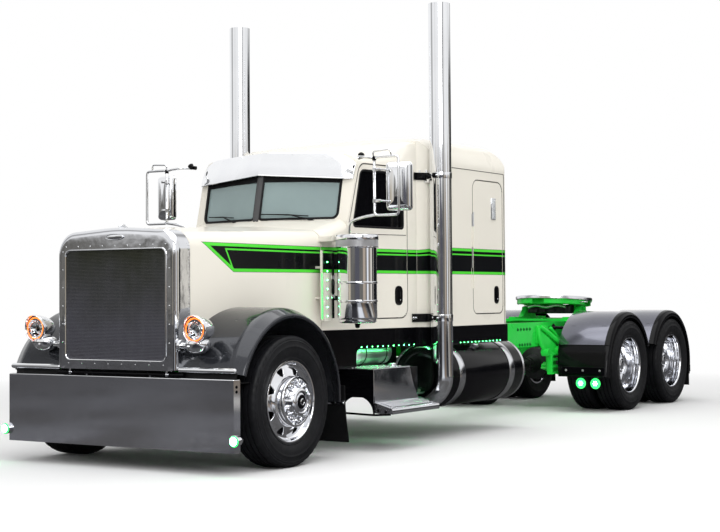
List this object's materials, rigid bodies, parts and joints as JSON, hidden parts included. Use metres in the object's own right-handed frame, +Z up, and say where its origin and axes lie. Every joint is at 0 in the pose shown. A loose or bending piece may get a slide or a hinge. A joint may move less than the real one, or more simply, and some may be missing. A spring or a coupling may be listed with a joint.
{
  "type": "conventional sleeper truck tractor",
  "caption": "Long-nose sleeper tractor unit with tilting hood, upright exhaust stacks, deep polished bumper, tandem drive axles and a fifth wheel for a trailer.",
  "frame": {"origin": "on the ground, midway along the vehicle, on its centre plane", "axes": "the front faces -Y, the driver's (left) side is +X, +Z is up"},
  "size_m": [2.804, 9.7, 4.03],
  "materials": {
    "cream_paint": "clear-coated gloss",
    "green_paint": "gloss",
    "black_paint": "clear-coated gloss",
    "dark_paint": "clear-coated gloss",
    "polished_metal": "mirror polish",
    "wheel_metal": "mirror polish",
    "mesh_metal": "punched sheet",
    "cast_metal": "painted casting",
    "tyre_rubber": "moulded rubber",
    "flap_rubber": "smooth sheet",
    "window_glass": "tinted",
    "trim_plastic": "grained",
    "seat_fabric": "woven"
  },
  "bodies": {
    "chassis": {"frame_rails": "green_paint", "frame_crossmembers": "green_paint", "front_bumper": "polished_metal", "engine": "cast_metal", "front_axle": "cast_metal", "drive_axles": "cast_metal", "driveshafts": "cast_metal", "suspension": "green_paint", "cab_shell": "cream_paint", "windshield": "window_glass", "sun_visor": "cream_paint", "dashboard": "trim_plastic", "seats": "seat_fabric", "bunk": "seat_fabric", "sleeper_shell": "cream_paint", "cab_mounts": "flap_rubber", "cab_skirts": "black_paint", "air_cleaners": "polished_metal", "exhaust_stacks": "polished_metal", "fuel_tanks": "black_paint", "step_boxes": "black_paint", "front_mud_flaps": "flap_rubber", "drive_fenders": "dark_paint", "rear_light_bar": "green_paint", "fifth_wheel_base": "green_paint"},
    "hood": {"hood": "cream_paint", "grille_shell": "polished_metal", "grille_screen": "mesh_metal", "front_fenders": "dark_paint", "headlights": "polished_metal"},
    "left_knuckle": {"left_knuckle": "cast_metal"},
    "right_knuckle": {"right_knuckle": "cast_metal"},
    "tie_rod": {"tie_rod": "cast_metal"},
    "left_front_wheel": {"left_front_tyre": "tyre_rubber", "left_front_wheel": "wheel_metal"},
    "right_front_wheel": {"right_front_tyre": "tyre_rubber", "right_front_wheel": "wheel_metal"},
    "left_first_drive": {"left_first_drive_tyres": "tyre_rubber", "left_first_drive_wheels": "wheel_metal"},
    "right_first_drive": {"right_first_drive_tyres": "tyre_rubber", "right_first_drive_wheels": "wheel_metal"},
    "left_second_drive": {"left_second_drive_tyres": "tyre_rubber", "left_second_drive_wheels": "wheel_metal"},
    "right_second_drive": {"right_second_drive_tyres": "tyre_rubber", "right_second_drive_wheels": "wheel_metal"},
    "left_door": {"left_door": "cream_paint", "left_door_glass": "window_glass", "left_mirror": "polished_metal"},
    "right_door": {"right_door": "cream_paint", "right_door_glass": "window_glass", "right_mirror": "polished_metal"},
    "left_sleeper_door": {"left_sleeper_door": "cream_paint"},
    "right_sleeper_door": {"right_sleeper_door": "cream_paint"},
    "fifth_wheel_plate": {"fifth_wheel_plate": "polished_metal"}
  },
  "joints": [
    {"name": "hood_tilt", "type": "hinge", "parent": "chassis", "child": "hood", "pos_m": [0, -4.745, 0.742], "axis": [1, 0, 0], "range_deg": [0, 65]},
    {"name": "left_steer", "type": "hinge", "parent": "chassis", "child": "left_knuckle", "pos_m": [0.9, -4.05, 0.516], "axis": [0, 0, 1], "range_deg": [-35, 35]},
    {"name": "right_steer", "type": "hinge", "parent": "chassis", "child": "right_knuckle", "pos_m": [-0.9, -4.05, 0.516], "axis": [0, 0, 1], "range_deg": [-35, 35]},
    {"name": "tie_rod_swing", "type": "hinge", "parent": "left_knuckle", "child": "tie_rod", "pos_m": [0.9, -3.84, 0.375], "axis": [0, 0, 1], "range_deg": [-35, 35]},
    {"name": "left_front_wheel_spin", "type": "hinge", "parent": "left_knuckle", "child": "left_front_wheel", "pos_m": [1.052, -4.05, 0.516], "axis": [1, 0, 0], "continuous": true},
    {"name": "right_front_wheel_spin", "type": "hinge", "parent": "right_knuckle", "child": "right_front_wheel", "pos_m": [-1.052, -4.05, 0.516], "axis": [1, 0, 0], "continuous": true},
    {"name": "left_first_drive_spin", "type": "hinge", "parent": "chassis", "child": "left_first_drive", "pos_m": [0.911, 2.724, 0.516], "axis": [1, 0, 0], "continuous": true},
    {"name": "right_first_drive_spin", "type": "hinge", "parent": "chassis", "child": "right_first_drive", "pos_m": [-0.911, 2.724, 0.516], "axis": [1, 0, 0], "continuous": true},
    {"name": "left_second_drive_spin", "type": "hinge", "parent": "chassis", "child": "left_second_drive", "pos_m": [0.911, 4.045, 0.516], "axis": [1, 0, 0], "continuous": true},
    {"name": "right_second_drive_spin", "type": "hinge", "parent": "chassis", "child": "right_second_drive", "pos_m": [-0.911, 4.045, 0.516], "axis": [1, 0, 0], "continuous": true},
    {"name": "left_door_swing", "type": "hinge", "parent": "chassis", "child": "left_door", "pos_m": [0.84771, -2.69592, 1.53], "axis": [0, 0, -1], "range_deg": [0, 65]},
    {"name": "right_door_swing", "type": "hinge", "parent": "chassis", "child": "right_door", "pos_m": [-0.84771, -2.69592, 1.53], "axis": [0, 0, 1], "range_deg": [0, 65]},
    {"name": "left_sleeper_door_swing", "type": "hinge", "parent": "chassis", "child": "left_sleeper_door", "pos_m": [1.059, -0.808, 1.7], "axis": [0, 0, -1], "range_deg": [0, 90]},
    {"name": "right_sleeper_door_swing", "type": "hinge", "parent": "chassis", "child": "right_sleeper_door", "pos_m": [-1.059, -0.808, 1.7], "axis": [0, 0, 1], "range_deg": [0, 90]},
    {"name": "fifth_wheel_tilt", "type": "hinge", "parent": "chassis", "child": "fifth_wheel_plate", "pos_m": [0, 3.22, 1.165], "axis": [1, 0, 0], "range_deg": [-12, 12]}
  ],
  "couplings": [
    {"joint": "right_steer", "follows": "left_steer", "ratio": 1},
    {"joint": "tie_rod_swing", "follows": "left_steer", "ratio": -1}
  ]
}
